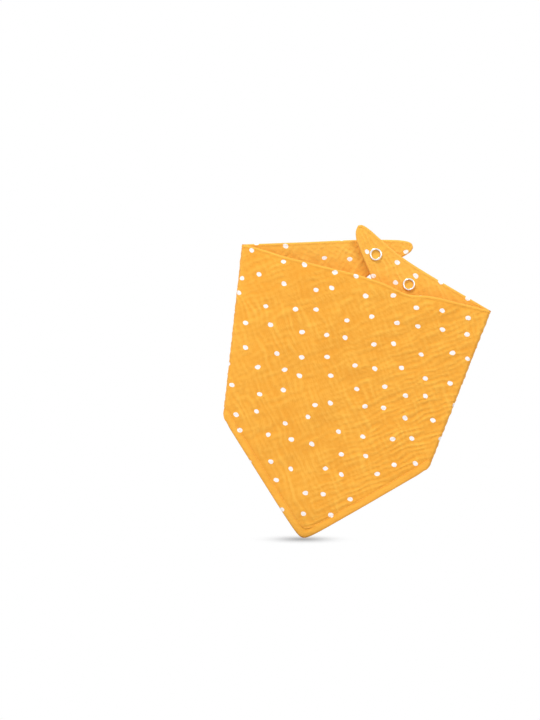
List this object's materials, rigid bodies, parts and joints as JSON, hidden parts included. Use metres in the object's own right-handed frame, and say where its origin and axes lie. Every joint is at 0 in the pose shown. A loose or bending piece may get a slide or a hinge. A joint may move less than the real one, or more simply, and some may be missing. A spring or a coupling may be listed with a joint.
{
  "type": "bandana dribble bib",
  "caption": "Triangular double-gauze cloth dribble bib with two folded neck straps joined by a ring press snap.",
  "frame": {"origin": "middle of the front neckline, in the plane of the two fold lines, at the neck opening", "axes": "+Z to the wearer's head, -Y out of the front of the bib, +X to the right as the front is seen"},
  "size_m": [0.1958, 0.0208, 0.2414],
  "materials": {
    "outer_muslin": "crinkled cotton double gauze, yellow-orange with small off-white printed dots",
    "lining_muslin": "crinkled cotton double gauze, yellow-orange with small off-white printed dots",
    "interlining_fleece": "undyed absorbent cotton fleece",
    "thread": "matching polyester sewing thread",
    "snap_chrome": "bright nickel-plated brass",
    "spring_steel": "bare spring wire"
  },
  "bodies": {
    "front": {"front_outer": "outer_muslin", "front_interlining": "interlining_fleece", "front_lining": "lining_muslin", "front_topstitch": "thread"},
    "left_strap": {"left_strap_outer": "outer_muslin", "left_strap_interlining": "interlining_fleece", "left_strap_lining": "lining_muslin", "left_strap_topstitch": "thread", "outer_snap_ring": "snap_chrome", "outer_snap_stud": "snap_chrome"},
    "right_strap": {"right_strap_outer": "outer_muslin", "right_strap_interlining": "interlining_fleece", "right_strap_lining": "lining_muslin", "right_strap_topstitch": "thread", "closed_snap_ring": "snap_chrome", "closed_snap_socket": "snap_chrome", "closed_snap_spring": "spring_steel", "spare_snap_ring": "snap_chrome", "spare_snap_socket": "snap_chrome", "spare_snap_spring": "spring_steel"}
  },
  "joints": [
    {"name": "left_strap_fold", "type": "hinge", "parent": "front", "child": "left_strap", "pos_m": [-0.09487, 0, 0], "axis": [-0.1321, 0, 0.9912], "range_deg": [0, 178]},
    {"name": "right_strap_fold", "type": "hinge", "parent": "front", "child": "right_strap", "pos_m": [0.09487, 0, 0], "axis": [-0.1321, 0, -0.9912], "range_deg": [0, 116]}
  ],
  "couplings": [
    {"joint": "right_strap_fold", "follows": "left_strap_fold", "ratio": 0.65}
  ]
}
